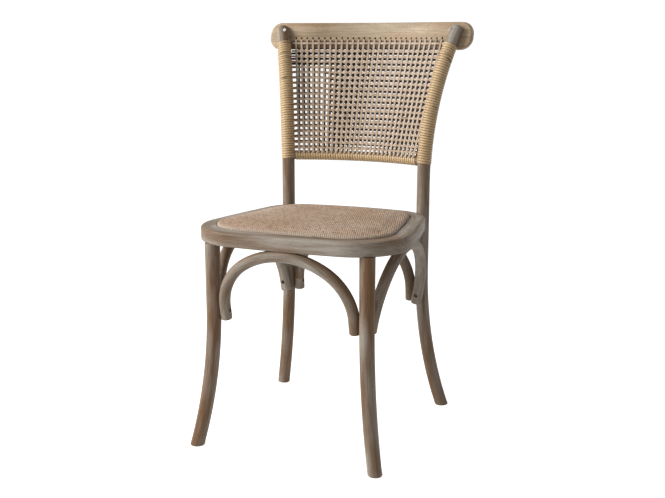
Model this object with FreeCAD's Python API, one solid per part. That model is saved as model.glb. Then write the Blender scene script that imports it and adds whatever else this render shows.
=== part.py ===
import FreeCAD, Part
import math
import os

# Bentwood dining chair with a woven cane back and a cane covered pad.
# Millimetres. +Z is up, the chair faces -Y, and X = 0 is its plane of symmetry.
# The parts are drawn about the seat, then all moved along Y so that the
# origin is on the floor, under the middle of the chair.

os.makedirs("parts", exist_ok=True)
Vec = FreeCAD.Vector
UP = Vec(0, 0, 1)
SIDES = {"left": -1, "right": 1}

# Clearances
SCRIBE_GAP = 0.15
SLIP_GAP = 0.1
LAY_GAP = 0.15
CROSS_GAP = 0.25
WRAP_GAP = 0.15

# Seat ring
SEAT_TOP = 465.0
RING_THICK = 30.0
RING_BAND = 58.0
RING_TOP_ROUND = 6.0
RING_BOTTOM_ROUND = 3.5
FRONT_EDGE_Y = -222.0
REAR_EDGE_Y = 190.0
FRONT_HALF_WIDTH = 243.0
REAR_HALF_WIDTH = 172.5
FRONT_BOW_RADIUS = 1800.0
SIDE_BOW_RADIUS = 2500.0
REAR_BOW_RADIUS = 700.0
FRONT_CORNER_RADIUS = 115.0
REAR_CORNER_RADIUS = 92.0
REBATE_DEPTH = 12.0
REBATE_INSET = 32.0

# Seat pad and its board
BOARD_THICK = 8.0
BOARD_GAP = 1.0
PAD_GAP = 1.2
PAD_EDGE_RISE = 6.5
PAD_CROWN = 12.0
PAD_SHOULDER = 18.0
PAD_DRAW_IN = 2.0

# Front legs
FRONT_LEG_X = 171.0
FRONT_LEG_Y = -188.0
FRONT_LEG_TOP_RADIUS = 15.9
FRONT_LEG_FOOT_RADIUS = 14.8
FRONT_LEG_BEND_Z = 297.0
FRONT_LEG_BEND_RADIUS = 1030.0
FRONT_LEG_SPLAY = 45.0
TENON_RADIUS = 9.0
TENON_LENGTH = 20.0
FOOT_ROUND = 2.5

# Back posts
POST_X = 166.5
POST_Y = 171.5
POST_RADIUS = 14.5
POST_LEG_BEND_Z = 332.0
POST_LEG_BEND_RADIUS = 930.0
POST_LEG_SPLAY = 41.4
POST_BACK_BEND_Z = 535.0
POST_BACK_BEND_RADIUS = 662.0
POST_BACK_SPLAY = 31.8
POST_TOP_Z = 881.5
POST_TOP_ROUND = 8.0

# Bent arches under the seat
ARCH_RADIUS = 12.0
ARCH_FRONT_END_Z = 275.0
ARCH_REAR_END_Z = 259.0
ARCH_RISE = 140.0
FRONT_ARCH_RISE = 123.0
ARCH_SHOULDER_RADIUS = 118.0
ARCH_SEAT_DEPTH = 0.5
ARCH_CROWN_FLAT = 2.0
ARCH_END_ROUND = 2.5
FRONT_ARCH_LEAN = 25.0
SIDE_ARCH_LEAN = 23.0
REAR_ARCH_LEAN = 9.0

# Crest rail
CREST_HALF_WIDTH = 247.5
CREST_BOTTOM_Z = 822.0
CREST_TOP_Z = 883.5
CREST_FRONT_Y = 285.0
CREST_THICK = 21.0
CREST_BOW_RADIUS = 360.0
CREST_REFLEX_RADIUS = 275.0
CREST_FLAT_X = 215.0
CREST_LEAN = 17.0
CREST_CORNER_RADIUS = 27.0
CREST_EDGE_ROUND = 4.0

# Lower back rail
RAIL_Z = 579.0
RAIL_RADIUS = 10.0
RAIL_BOW_RADIUS = 360.0
RAIL_TENON_RADIUS = 6.0
RAIL_TENON_LENGTH = 12.0

# Cane of the back
STRAND_WIDTH = 4.8
STRAND_THICK = 1.2
STRAND_COUNT = 28
HOLE_RADIUS = 2.3
HOLE_ROW_Z = 848.0
HOLE_ROW_HALF_SPAN = 180.0
STRAND_FOOT_HALF_SPAN = 144.0
CREST_ROW_Z = 836.3
TOP_ROW_Z = 818.6
ROW_COUNT = 19
ROW_PITCH = 12.3
ROW_POST_GAP = 0.8
ROW_OVERRUN = 3.2

# Cane wound round the posts and the lower rail
WRAP_THICK = 0.9
WRAP_FOOT_Z = 571.0
WRAP_HEAD_GAP = 2.0
POST_TURNS = 20
RAIL_TURNS = 24
TURN_GAP = 0.8
POINTS_PER_TURN = 12

# Fasteners
SCREW_HEAD_RADIUS = 4.2
SCREW_HEAD_HEIGHT = 2.4
SCREW_SHANK_RADIUS = 2.0
SCREW_SLOT_WIDTH = 1.1
SCREW_SLOT_DEPTH = 1.0
ARCH_SCREW_RISE = 21.0
ARCH_SCREW_SINK = 5.0
ARCH_SCREW_BITE = 9.0
CROWN_SCREW_BITE = 12.0
CREST_SCREW_Z = 862.0
CREST_SCREW_INWARD = 8.8
CREST_SCREW_BITE = 13.0
BOARD_SCREW_BITE = 6.0
BOARD_SCREW_SINK = 1.0
BOLT_Z = 450.0
BOLT_RADIUS = 3.0
BOLT_HEAD_RADIUS = 6.0
BOLT_HEAD_HEIGHT = 4.0
BOLT_SINK = 5.0
NUT_RADIUS = 5.0
NUT_LENGTH = 20.0
NUT_INSET = 24.0
BOLT_PAST_NUT = 3.0

# How finely the whole chair is measured
MEASURE_STEP = 0.1

# Places worked out from the sizes above
RING_BOTTOM = SEAT_TOP - RING_THICK
REBATE_FLOOR = SEAT_TOP - REBATE_DEPTH
CREST_MID_Z = (CREST_TOP_Z + CREST_BOTTOM_Z) / 2
LEAN_TAN = math.tan(math.radians(CREST_LEAN))
SLANT = Vec(0, LEAN_TAN, 1)
FLAT_SHARE = math.cos(math.pi / POINTS_PER_TURN)
WRAP_INNER = (POST_RADIUS + WRAP_GAP) / FLAT_SHARE
WRAP_OUTER = WRAP_INNER + WRAP_THICK
RAIL_WRAP_INNER = (RAIL_RADIUS + WRAP_GAP) / FLAT_SHARE
RAIL_WRAP_OUTER = RAIL_WRAP_INNER + WRAP_THICK


def direction(degrees, side, forward=False):
    """Level unit vector, turned from the Y axis towards the outside of the chair."""
    turn = math.radians(degrees)
    along_y = -math.cos(turn) if forward else math.cos(turn)
    return Vec(side * math.sin(turn), along_y, 0)


def arc(start, middle, end):
    return Part.Arc(start, middle, end).toShape()


def bend_point(start, lean_to, radius, rise):
    """Point that a bar bent from the vertical reaches after rising or falling."""
    swing = math.asin(abs(rise) / radius)
    return start + lean_to * (radius * (1 - math.cos(swing))) + UP * rise


def bend_tangent(lean_to, radius, rise):
    swing = math.asin(abs(rise) / radius)
    return (UP * math.cos(swing) + lean_to * math.sin(swing)).normalize()


def bend_edge(start, lean_to, radius, rise):
    """Arc of a bar that leaves the vertical at start and rises or falls."""
    half_swing = math.asin(abs(rise) / radius) / 2
    half_rise = math.copysign(radius * math.sin(half_swing), rise)
    middle = bend_point(start, lean_to, radius, half_rise)
    return arc(start, middle, bend_point(start, lean_to, radius, rise))


def round_bar(edges, start_radius, end_radius):
    """Round bar along joined edges, tapering evenly if its two radii differ."""
    path = Part.Wire(edges)
    ordered = path.OrderedEdges
    first, last = ordered[0], ordered[-1]
    start = path.OrderedVertexes[0].Point
    end = path.OrderedVertexes[-1].Point
    start_way = tangent_at(first, start)
    end_way = tangent_at(last, end)
    pipe = Part.BRepOffsetAPI.MakePipeShell(path)
    pipe.add(Part.Wire(Part.makeCircle(start_radius, start, start_way)))
    if end_radius != start_radius:
        pipe.add(Part.Wire(Part.makeCircle(end_radius, end, end_way)))
    pipe.build()
    pipe.makeSolid()
    return pipe.shape()


def tangent_at(edge, point):
    return edge.tangentAt(edge.Curve.parameter(point))


def circles_meet(centre_a, radius_a, centre_b, radius_b):
    """Where two level circles cross, to the left of the way from a to b."""
    gap = centre_b - centre_a
    reach = gap.Length
    along = (radius_a ** 2 - radius_b ** 2 + reach ** 2) / (2 * reach)
    across = math.sqrt(radius_a ** 2 - along ** 2)
    way = gap.normalize()
    return centre_a + way * along + UP.cross(way) * across


def seat_arcs():
    """Centres and radii of the arcs round the right half of the seat."""
    front = Vec(0, FRONT_EDGE_Y + FRONT_BOW_RADIUS, 0)
    rear = Vec(0, REAR_EDGE_Y - REAR_BOW_RADIUS, 0)
    front_corner = Vec(FRONT_HALF_WIDTH, FRONT_EDGE_Y, 0)
    rear_corner = Vec(REAR_HALF_WIDTH, REAR_EDGE_Y, 0)
    side = circles_meet(front_corner, SIDE_BOW_RADIUS, rear_corner, SIDE_BOW_RADIUS)
    front_turn = circles_meet(front, FRONT_BOW_RADIUS - FRONT_CORNER_RADIUS,
                              side, SIDE_BOW_RADIUS - FRONT_CORNER_RADIUS)
    rear_turn = circles_meet(side, SIDE_BOW_RADIUS - REAR_CORNER_RADIUS,
                             rear, REAR_BOW_RADIUS - REAR_CORNER_RADIUS)
    return front, front_turn, side, rear_turn, rear


FRONT_BOW, FRONT_TURN, SIDE_BOW, REAR_TURN, REAR_BOW = seat_arcs()


def past(centre, through, radius):
    """Point at radius from centre, on the line from centre through another point."""
    return centre + (through - centre).normalize() * radius


def middle_way(centre, start, end):
    return (start - centre).normalize() + (end - centre).normalize()


def seat_outline(inset, height):
    """Closed outline of the seat, moved in from its edge by inset."""
    side_radius = SIDE_BOW_RADIUS - inset
    front_mid = Vec(0, FRONT_EDGE_Y + inset, 0)
    front_end = past(FRONT_BOW, FRONT_TURN, FRONT_BOW_RADIUS - inset)
    side_start = past(SIDE_BOW, FRONT_TURN, side_radius)
    side_end = past(SIDE_BOW, REAR_TURN, side_radius)
    rear_start = past(REAR_BOW, REAR_TURN, REAR_BOW_RADIUS - inset)
    corners = [
        (FRONT_TURN, front_end, side_start, FRONT_CORNER_RADIUS - inset),
        (SIDE_BOW, side_start, side_end, side_radius),
        (REAR_TURN, side_end, rear_start, REAR_CORNER_RADIUS - inset),
    ]
    edges = []
    for centre, start, end, radius in corners:
        between = centre + middle_way(centre, start, end).normalize() * radius
        edges.append(arc(start, between, end))
        edges.append(arc(mirrored(start), mirrored(between), mirrored(end)))
    edges.append(arc(mirrored(front_end), front_mid, front_end))
    edges.append(arc(mirrored(rear_start), Vec(0, REAR_EDGE_Y - inset, 0), rear_start))
    outline = Part.Wire(Part.__sortEdges__(edges))
    outline.translate(UP * height)
    return outline


def mirrored(point):
    return Vec(-point.x, point.y, point.z)


def seat_slab(inset, bottom, top):
    return Part.Face(seat_outline(inset, bottom)).extrude(UP * (top - bottom))


def below(height):
    """Block that holds everything of the chair below a height."""
    size = 4 * SEAT_TOP
    return Part.makeBox(2 * size, 2 * size, size, Vec(-size, -size, height - size))


def edges_at(shape, height):
    near = 0.01
    return [e for e in shape.Edges
            if abs(e.BoundBox.ZMin - height) < near and abs(e.BoundBox.ZMax - height) < near]


def cylinder(radius, start, end):
    way = end - start
    return Part.makeCylinder(radius, way.Length, start, way)


# Bars: front legs and back posts

def front_leg_top(side):
    return Vec(side * FRONT_LEG_X, FRONT_LEG_Y, RING_BOTTOM)


def front_leg(side):
    top = front_leg_top(side)
    bend = Vec(top.x, top.y, FRONT_LEG_BEND_Z)
    splay = direction(FRONT_LEG_SPLAY, side, forward=True)
    below_floor = FRONT_LEG_FOOT_RADIUS
    drop = bend_edge(bend, splay, FRONT_LEG_BEND_RADIUS, -bend.z - below_floor)
    straight = Part.LineSegment(top, bend).toShape()
    bar = round_bar([straight, drop], FRONT_LEG_TOP_RADIUS, FRONT_LEG_FOOT_RADIUS)
    bar = bar.cut(below(0))
    bar = bar.makeFillet(FOOT_ROUND, edges_at(bar, 0))
    tenon = cylinder(TENON_RADIUS, top, top + UP * TENON_LENGTH)
    return bar.fuse(tenon).removeSplitter()


def leg_radius_at(height):
    """Radius of a front leg where its taper has come down to a height."""
    swing = math.asin(FRONT_LEG_BEND_Z / FRONT_LEG_BEND_RADIUS)
    whole = RING_BOTTOM - FRONT_LEG_BEND_Z + FRONT_LEG_BEND_RADIUS * swing
    share = (RING_BOTTOM - height) / whole
    return FRONT_LEG_TOP_RADIUS + share * (FRONT_LEG_FOOT_RADIUS - FRONT_LEG_TOP_RADIUS)


def post_centre(side, height):
    """Point on the bent centre line of a back post."""
    if height > POST_BACK_BEND_Z:
        start = Vec(side * POST_X, POST_Y, POST_BACK_BEND_Z)
        lean_to = direction(POST_BACK_SPLAY, side)
        return bend_point(start, lean_to, POST_BACK_BEND_RADIUS, height - start.z)
    if height < POST_LEG_BEND_Z:
        start = Vec(side * POST_X, POST_Y, POST_LEG_BEND_Z)
        lean_to = direction(POST_LEG_SPLAY, side)
        return bend_point(start, lean_to, POST_LEG_BEND_RADIUS, height - start.z)
    return Vec(side * POST_X, POST_Y, height)


def post_way(side, height):
    """Direction of a back post's centre line above its lower bend."""
    if height <= POST_BACK_BEND_Z:
        return UP
    rise = height - POST_BACK_BEND_Z
    return bend_tangent(direction(POST_BACK_SPLAY, side), POST_BACK_BEND_RADIUS, rise)


def post_bar(side, radius):
    """The whole bent bar, from under the floor to its square cut top."""
    low = Vec(side * POST_X, POST_Y, POST_LEG_BEND_Z)
    high = Vec(side * POST_X, POST_Y, POST_BACK_BEND_Z)
    leg_splay = direction(POST_LEG_SPLAY, side)
    back_splay = direction(POST_BACK_SPLAY, side)
    leg = bend_edge(low, leg_splay, POST_LEG_BEND_RADIUS, -low.z - POST_RADIUS)
    back = bend_edge(high, back_splay, POST_BACK_BEND_RADIUS, post_end_z() - high.z)
    straight = Part.LineSegment(low, high).toShape()
    return round_bar([leg, straight, back], radius, radius)


def post_end_z():
    """Height of the centre of a post's top, whose front edge is the highest."""
    lean = math.asin((POST_TOP_Z - POST_BACK_BEND_Z) / POST_BACK_BEND_RADIUS)
    return POST_TOP_Z - POST_RADIUS * math.sin(lean)


def post_stretch(side, radius, bottom, top):
    """Part of the upper, bent stretch of a post, square ended."""
    high = Vec(side * POST_X, POST_Y, POST_BACK_BEND_Z)
    back_splay = direction(POST_BACK_SPLAY, side)
    start = post_centre(side, bottom)
    middle = post_centre(side, (bottom + top) / 2)
    end = post_centre(side, top)
    return round_bar([arc(start, middle, end)], radius, radius)


# Crest rail

def crest_plan_y(x):
    """Front face of the crest rail in plan, at its mid height."""
    sweep = crest_sweep()
    join = CREST_BOW_RADIUS * math.sin(sweep)
    out = abs(x)
    if out <= join:
        return CREST_FRONT_Y - CREST_BOW_RADIUS + math.sqrt(CREST_BOW_RADIUS ** 2 - out ** 2)
    tip = crest_tip_y()
    if out >= CREST_FLAT_X:
        return tip
    back = CREST_FLAT_X - out
    return tip + CREST_REFLEX_RADIUS - math.sqrt(CREST_REFLEX_RADIUS ** 2 - back ** 2)


def crest_sweep():
    return math.asin(CREST_FLAT_X / (CREST_BOW_RADIUS + CREST_REFLEX_RADIUS))


def crest_tip_y():
    drop = (CREST_BOW_RADIUS + CREST_REFLEX_RADIUS) * (1 - math.cos(crest_sweep()))
    return CREST_FRONT_Y - drop


def crest_way(x):
    """Level unit vector out of the crest's back face at x."""
    join = CREST_BOW_RADIUS * math.sin(crest_sweep())
    if abs(x) <= join:
        turn = math.asin(abs(x) / CREST_BOW_RADIUS)
    else:
        back = max(CREST_FLAT_X - abs(x), 0.0)
        turn = math.asin(back / CREST_REFLEX_RADIUS)
    return Vec(math.copysign(math.sin(turn), x), math.cos(turn), 0)


def crest_point(x, offset, height):
    """Point at offset behind the crest's front face, at a height."""
    level = Vec(x, crest_plan_y(x), CREST_MID_Z) + crest_way(x) * offset
    return level + SLANT * (height - CREST_MID_Z)


def crest_curve(offset, height, reach):
    """The crest's plan curve from one end to the other, as one smooth edge."""
    steps = 40
    marks = [reach * (2 * i / steps - 1) for i in range(steps + 1)]
    return smooth_edge([crest_point(x, offset, height) for x in marks])


def crest_slab(front, back, bottom, top):
    """Bowed, leaning slab between two offsets from the crest's front face."""
    reach = CREST_HALF_WIDTH + CREST_CORNER_RADIUS
    near = crest_curve(front, bottom, reach)
    far = crest_curve(back, bottom, reach)
    ends = [Part.LineSegment(crest_point(x, front, bottom), crest_point(x, back, bottom))
            for x in (-reach, reach)]
    edges = [near, far] + [end.toShape() for end in ends]
    face = Part.Face(Part.Wire(Part.__sortEdges__(edges)))
    return face.extrude(SLANT * (top - bottom))


def crest_blank():
    """Crest rail before its holes: the slab cut to its rounded front outline."""
    width = 2 * CREST_HALF_WIDTH
    height = CREST_TOP_Z - CREST_BOTTOM_Z
    deep = 2 * CREST_FRONT_Y
    outline = Part.makeBox(width, deep, height, Vec(-CREST_HALF_WIDTH, 0, CREST_BOTTOM_Z))
    corners = [e for e in outline.Edges if e.BoundBox.YLength > deep / 2]
    outline = outline.makeFillet(CREST_CORNER_RADIUS, corners)
    margin = CREST_EDGE_ROUND
    slab = crest_slab(0, CREST_THICK, CREST_BOTTOM_Z - margin, CREST_TOP_Z + margin)
    board = slab.common(outline)
    front_and_back = [e for e in board.Edges if not crosses_board(e)]
    return board.makeFillet(CREST_EDGE_ROUND, front_and_back)


def crosses_board(edge):
    """True for a short edge that runs through the board from front to back."""
    start = depth_in_crest(edge.valueAt(edge.FirstParameter))
    end = depth_in_crest(edge.valueAt(edge.LastParameter))
    middle = depth_in_crest(edge.valueAt((edge.FirstParameter + edge.LastParameter) / 2))
    face_depths = (0, CREST_THICK)
    on_face = [min(abs(depth - face) for face in face_depths) < 0.5
               for depth in (start, middle, end)]
    return not all(on_face)


def depth_in_crest(point):
    """How far behind the crest's front face a point lies, measured in plan."""
    level_y = point.y - LEAN_TAN * (point.z - CREST_MID_Z)
    x = point.x
    for _ in range(6):
        way = crest_way(x)
        depth = (level_y - crest_plan_y(x)) / way.y
        x = point.x - way.x * depth
    return depth


# Lower back rail

def rail_turn():
    """Half the angle that the bowed rail covers between the posts' centres."""
    return math.asin(post_centre(1, RAIL_Z).x / RAIL_BOW_RADIUS)


def rail_centre(angle):
    """Point on the rail's centre line, by the angle from its middle."""
    start = post_centre(1, RAIL_Z)
    middle_y = start.y + RAIL_BOW_RADIUS * (1 - math.cos(rail_turn()))
    return Vec(RAIL_BOW_RADIUS * math.sin(angle),
               middle_y - RAIL_BOW_RADIUS * (1 - math.cos(angle)), RAIL_Z)


def rail_pipe(radius, angle):
    edge = arc(rail_centre(-angle), rail_centre(0), rail_centre(angle))
    return round_bar([edge], radius, radius)


def rail_end_way(side):
    """Direction in which the rail runs out into a post."""
    turn = rail_turn()
    return Vec(side * math.cos(turn), -math.sin(turn), 0)


def rail_tenon(side, radius, spare):
    """Round tenon at the rail's end. spare is how much it is longer than its size."""
    way = rail_end_way(side)
    centre = rail_centre(side * rail_turn())
    root = centre - way * (POST_RADIUS * 2)
    tip = centre - way * (POST_RADIUS - RAIL_TENON_LENGTH - spare)
    return cylinder(radius, root, tip)


# Strands of the cane back

def hole_x(index):
    return HOLE_ROW_HALF_SPAN * (2 * index / (STRAND_COUNT - 1) - 1)


def panel_point(layer, share, offset, height):
    """Point of a cane layer. layer is -1 in front and 1 behind, share runs from -1
    to 1 across the back, and offset is the distance out from the crest and rail."""
    top_x = HOLE_ROW_HALF_SPAN * share
    depth = 0 if layer < 0 else CREST_THICK
    top = crest_point(top_x, depth + layer * offset, HOLE_ROW_Z)
    foot_x = STRAND_FOOT_HALF_SPAN * share
    angle = math.asin(foot_x / RAIL_BOW_RADIUS)
    out = Vec(math.sin(angle), math.cos(angle), 0) * layer
    foot = rail_centre(angle) + out * (RAIL_WRAP_OUTER + offset)
    climb = (height - RAIL_Z) / (HOLE_ROW_Z - RAIL_Z)
    point = foot + (top - foot) * climb
    return Vec(point.x, point.y, height)


def panel_way(layer, share, height):
    """Level direction across the strands of a layer at one place."""
    step = 0.01
    ahead = panel_point(layer, share + step, 0, height)
    behind = panel_point(layer, share - step, 0, height)
    return (ahead - behind).normalize()


def strand_section(layer, share, height):
    """Cross section of an upright strand, turned to lie flat on the rows there."""
    centre = panel_point(layer, share, STRAND_THICK * 1.5 + LAY_GAP + CROSS_GAP, height)
    across = panel_way(layer, share, height) * (STRAND_WIDTH / 2)
    through = UP.cross(across).normalize() * (STRAND_THICK / 2)
    corners = [centre - across - through, centre + across - through,
               centre + across + through, centre - across + through]
    return Part.makePolygon(corners + corners[:1])


def upright_strand(layer, share):
    """Flat strand from a hole of the crest down to the rail."""
    ends = (RAIL_Z, HOLE_ROW_Z - HOLE_RADIUS)
    return Part.makeLoft([strand_section(layer, share, z) for z in ends], True, True)


def post_contact(layer, side, height):
    """Where a row of cane meets the wound post, near the outermost strand."""
    centre = post_centre(side, height)
    last = panel_point(layer, side, STRAND_THICK / 2 + LAY_GAP, height)
    lean = math.acos(post_way(side, height).z)
    radius = WRAP_OUTER / math.cos(lean) + ROW_POST_GAP
    most = 0.85
    sine = max(-most, min(most, (last.y - centre.y) / radius))
    return centre + Vec(-side * math.sqrt(1 - sine ** 2), sine, 0) * radius


def cane_row(layer, height):
    """Flat strand across the back, bowed with the crest and the rail. Beside the
    crest it lies on the crest's face, and below that it runs from post to post."""
    steps = 24
    offset = STRAND_THICK / 2 + LAY_GAP
    reach = 1 + ROW_OVERRUN / STRAND_FOOT_HALF_SPAN
    shares = [reach * (2 * i / steps - 1) for i in range(steps + 1)]
    on_crest = height > CREST_BOTTOM_Z
    if on_crest:
        depth = 0 if layer < 0 else CREST_THICK
        points = [crest_point(HOLE_ROW_HALF_SPAN * share, depth + layer * offset, height)
                  for share in shares]
        slope = SLANT
    else:
        points = [panel_point(layer, share, offset, height) for share in shares]
        points = [post_contact(layer, -1, height)] + points + [post_contact(layer, 1, height)]
        slope = panel_point(layer, 0, 0, height + 1) - panel_point(layer, 0, 0, height)
    low = slope * (-STRAND_WIDTH / 2)
    near = [p + n * (STRAND_THICK / 2) + low for p, n in zip(points, curve_normals(points))]
    far = [p - n * (STRAND_THICK / 2) + low for p, n in zip(points, curve_normals(points))]
    edges = row_edges(near, on_crest) + row_edges(far, on_crest)
    edges += [Part.LineSegment(near[i], far[i]).toShape() for i in (0, -1)]
    outline = Part.Wire(Part.__sortEdges__(edges))
    return Part.Face(outline).extrude(slope * STRAND_WIDTH)


def row_edges(points, on_crest):
    """One side of a row: a smooth edge, and below the crest a turn to each post."""
    if on_crest:
        return [smooth_edge(points)]
    return [Part.LineSegment(points[0], points[1]).toShape(), smooth_edge(points[1:-1]),
            Part.LineSegment(points[-2], points[-1]).toShape()]


def curve_normals(points):
    """Level direction square to a line of points, at each of them."""
    normals = []
    for i in range(len(points)):
        before = points[max(i - 1, 0)]
        after = points[min(i + 1, len(points) - 1)]
        normals.append(UP.cross(after - before).normalize())
    return normals


def smooth_edge(points):
    curve = Part.BSplineCurve()
    curve.interpolate(points)
    return curve.toShape()


def cane_rows(layer):
    heights = [CREST_ROW_Z] + [TOP_ROW_Z - i * ROW_PITCH for i in range(ROW_COUNT)]
    return [cane_row(layer, height) for height in heights]


def strand_share(index):
    return hole_x(index) / HOLE_ROW_HALF_SPAN


# Wound cane

def wound_strip(frame_at, turns, inner, outer, width):
    """One flat strip wound round a bar, lofted through its cross sections."""
    count = turns * POINTS_PER_TURN
    sections = []
    for i in range(count + 1):
        centre, way, first, second = frame_at(i / count)
        angle = 2 * math.pi * turns * i / count
        out = first * math.cos(angle) + second * math.sin(angle)
        half = way * (width / 2)
        corners = [centre + out * inner - half, centre + out * outer - half,
                   centre + out * outer + half, centre + out * inner + half]
        sections.append(Part.makePolygon(corners + corners[:1]))
    return Part.makeLoft(sections, True, True)


def least_turn_gap(frame_at, turns, radius, width):
    """Least distance between a point of the winding and the next turn beside it."""
    count = turns * POINTS_PER_TURN
    least = None
    for i in range(count + 1 - POINTS_PER_TURN):
        centre, way, first, second = frame_at(i / count)
        above, way_above, first_above, second_above = frame_at((i + POINTS_PER_TURN) / count)
        angle = 2 * math.pi * turns * i / count
        out = first * math.cos(angle) + second * math.sin(angle)
        out_above = first_above * math.cos(angle) + second_above * math.sin(angle)
        low = centre + out * radius + way * (width / 2)
        high = above + out_above * radius - way_above * (width / 2)
        gap = (high - low).Length
        least = gap if least is None else min(least, gap)
    return least


def post_frame(side, bottom, top):
    """Frame along a post's upper bend, as a function of 0 at bottom to 1 at top."""
    start_swing = math.asin((bottom - POST_BACK_BEND_Z) / POST_BACK_BEND_RADIUS)
    end_swing = math.asin((top - POST_BACK_BEND_Z) / POST_BACK_BEND_RADIUS)
    lean_to = direction(POST_BACK_SPLAY, side)

    def frame(share):
        swing = start_swing + share * (end_swing - start_swing)
        height = POST_BACK_BEND_Z + POST_BACK_BEND_RADIUS * math.sin(swing)
        way = UP * math.cos(swing) + lean_to * math.sin(swing)
        level = UP.cross(lean_to)
        return post_centre(side, height), way, level, way.cross(level)

    return frame


def rail_frame(angle):
    """Frame along the rail, as a function of 0 at the left to 1 at the right."""

    def frame(share):
        here = angle * (2 * share - 1)
        way = Vec(math.cos(here), -math.sin(here), 0)
        return rail_centre(here), way, UP, way.cross(UP)

    return frame


def strip_width(length, turns):
    """Width of a strip whose turns, laid side by side, fill a length."""
    return length / (turns + 1) - TURN_GAP


# Fasteners

def screw(head_top, way, length):
    """Pan head wood screw. way points from the head into the wood."""
    head_foot = head_top + way * SCREW_HEAD_HEIGHT
    head = cylinder(SCREW_HEAD_RADIUS, head_top, head_foot)
    head = head.makeFillet(SCREW_HEAD_HEIGHT / 2, top_circle(head, head_top))
    shank = cylinder(SCREW_SHANK_RADIUS, head_foot, head_top + way * length)
    body = head.fuse(shank)
    return body.cut(drive_slots(head_top, way)).removeSplitter()


def top_circle(head, centre):
    near = 0.01
    return [e for e in head.Edges
            if hasattr(e.Curve, "Center") and (e.Curve.Center - centre).Length < near]


def drive_slots(head_top, way):
    """The two crossed slots in a screw head."""
    length = SCREW_HEAD_RADIUS
    slots = []
    for turn in (0, 90):
        slot = Part.makeBox(length, SCREW_SLOT_WIDTH, SCREW_SLOT_DEPTH,
                            Vec(-length / 2, -SCREW_SLOT_WIDTH / 2, 0))
        slot.rotate(Vec(0, 0, 0), UP, turn)
        slot.Placement = FreeCAD.Placement(head_top, FreeCAD.Rotation(UP, way)).multiply(slot.Placement)
        slots.append(slot)
    return slots[0].fuse(slots[1])


def screw_room(head_top, way, length, sink):
    """Hole that a screw needs, opened out above its head by sink."""
    bore = cylinder(SCREW_SHANK_RADIUS + SLIP_GAP, head_top, head_top + way * length)
    seat = cylinder(SCREW_HEAD_RADIUS + 2 * SLIP_GAP, head_top - way * sink,
                    head_top + way * SCREW_HEAD_HEIGHT)
    return bore.fuse(seat)


def arch_ends():
    """For each arch: the centre, radius and height of the bar at each end of it,
    and the way from the height where it starts to bend up to its crown, which
    leans out from over those ends."""
    leg_radius = leg_radius_at(ARCH_FRONT_END_Z + ARCH_SCREW_RISE)
    front = [(Vec(s * FRONT_LEG_X, FRONT_LEG_Y, 0), leg_radius, ARCH_FRONT_END_Z)
             for s in (-1, 1)]
    rear = [(Vec(s * POST_X, POST_Y, 0), POST_RADIUS, ARCH_REAR_END_Z) for s in (-1, 1)]
    return {
        "front_arch": (front[0], front[1], Vec(0, -FRONT_ARCH_LEAN, FRONT_ARCH_RISE)),
        "rear_arch": (rear[0], rear[1], Vec(0, -REAR_ARCH_LEAN, ARCH_RISE)),
        "left_arch": (front[0], rear[0], Vec(-SIDE_ARCH_LEAN, 0, ARCH_RISE)),
        "right_arch": (front[1], rear[1], Vec(SIDE_ARCH_LEAN, 0, ARCH_RISE)),
    }


def arch_springs(ends):
    """The two points where an arch starts to bend, and its rise as a vector."""
    (start, start_radius, _), (end, end_radius, _), rise = ends
    way = (end - start).normalize()
    reach = ARCH_RADIUS - ARCH_SEAT_DEPTH
    spring = UP * (RING_BOTTOM + ARCH_CROWN_FLAT - ARCH_RADIUS - rise.z)
    first = start + way * (start_radius + reach) + spring
    last = end - way * (end_radius + reach) + spring
    return first, last, rise


def down_to(point, along, height):
    """Point at a height, reached from another one in a sloping direction."""
    return point + along * ((height - point.z) / along.z)


def bent_arch(ends):
    """Basket arch with short straight ends, before it is scribed to its bars."""
    first, last, rise = arch_springs(ends)
    way = (last - first).normalize()
    half = (last - first).Length / 2
    middle = (first + last) / 2
    over_shoulder = rise.Length - ARCH_SHOULDER_RADIUS
    drop = ((half - ARCH_SHOULDER_RADIUS) ** 2 - over_shoulder ** 2) / (2 * over_shoulder)
    top_centre = middle - Vec(rise).normalize() * drop
    top_radius = rise.Length + drop
    feet = [down_to(first, rise, ends[0][2]), down_to(last, rise, ends[1][2])]
    curves = []
    joints = []
    for spring, inward in ((first, way), (last, way * -1)):
        shoulder = spring + inward * ARCH_SHOULDER_RADIUS
        joint = past(top_centre, shoulder, top_radius)
        half_turn = middle_way(shoulder, spring, joint).normalize()
        curves.append(arc(spring, shoulder + half_turn * ARCH_SHOULDER_RADIUS, joint))
        joints.append(joint)
    edges = [Part.LineSegment(feet[0], first).toShape(), curves[0],
             arc(joints[0], middle + rise, joints[1]), curves[1],
             Part.LineSegment(last, feet[1]).toShape()]
    arch = round_bar(edges, ARCH_RADIUS, ARCH_RADIUS)
    rims = top_circle(arch, feet[0]) + top_circle(arch, feet[1])
    arch = arch.makeFillet(ARCH_END_ROUND, rims)
    return arch.cut(seat_slab(-RING_BAND, RING_BOTTOM, SEAT_TOP))


def arch_screws(ends):
    """Head place, direction and length of the two screws at an arch's ends."""
    first, last, rise = arch_springs(ends)
    way = (last - first).normalize()
    length = 2 * ARCH_RADIUS - ARCH_SEAT_DEPTH - ARCH_SCREW_SINK + ARCH_SCREW_BITE
    places = []
    for spring, inward, end in ((first, way, ends[0]), (last, way * -1, ends[1])):
        centre = down_to(spring, rise, end[2] + ARCH_SCREW_RISE)
        head = centre + inward * (ARCH_RADIUS - ARCH_SCREW_SINK)
        places.append((head, inward * -1, length))
    return places


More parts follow.
